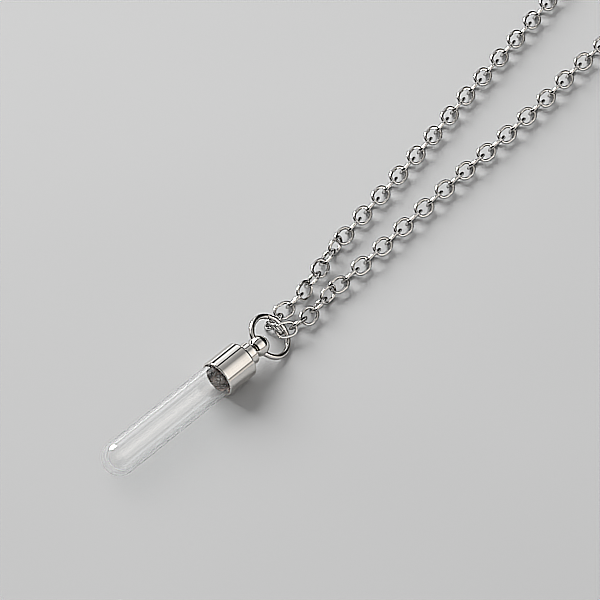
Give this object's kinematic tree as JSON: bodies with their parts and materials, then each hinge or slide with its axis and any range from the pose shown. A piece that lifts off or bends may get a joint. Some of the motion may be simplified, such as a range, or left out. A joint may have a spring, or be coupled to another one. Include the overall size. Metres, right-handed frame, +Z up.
{
  "type": "bottle pendant on a chain",
  "caption": "Small glass vial pendant with a polished metal cap, hung by a jump ring on a link chain necklace, as it lies on a table.",
  "frame": {"origin": "on the table, under the middle of the whole necklace's box", "axes": "+Z up from the table; +Y along the pendant's axis from the vial's tip towards the chain and the clasp; +X to the right"},
  "size_m": [0.0804, 0.2458, 0.0069],
  "materials": {
    "glass": "clear glass, smooth",
    "cap_metal": "mirror-polished stainless steel",
    "ring_metal": "polished stainless steel wire",
    "chain_metal": "polished stainless steel wire",
    "clasp_metal": "polished stainless steel"
  },
  "bodies": {
    "root": {"vial": "glass", "cap": "cap_metal", "jump_ring": "ring_metal", "chain_left": "chain_metal", "chain_right": "chain_metal", "clasp": "clasp_metal"}
  },
  "joints": []
}
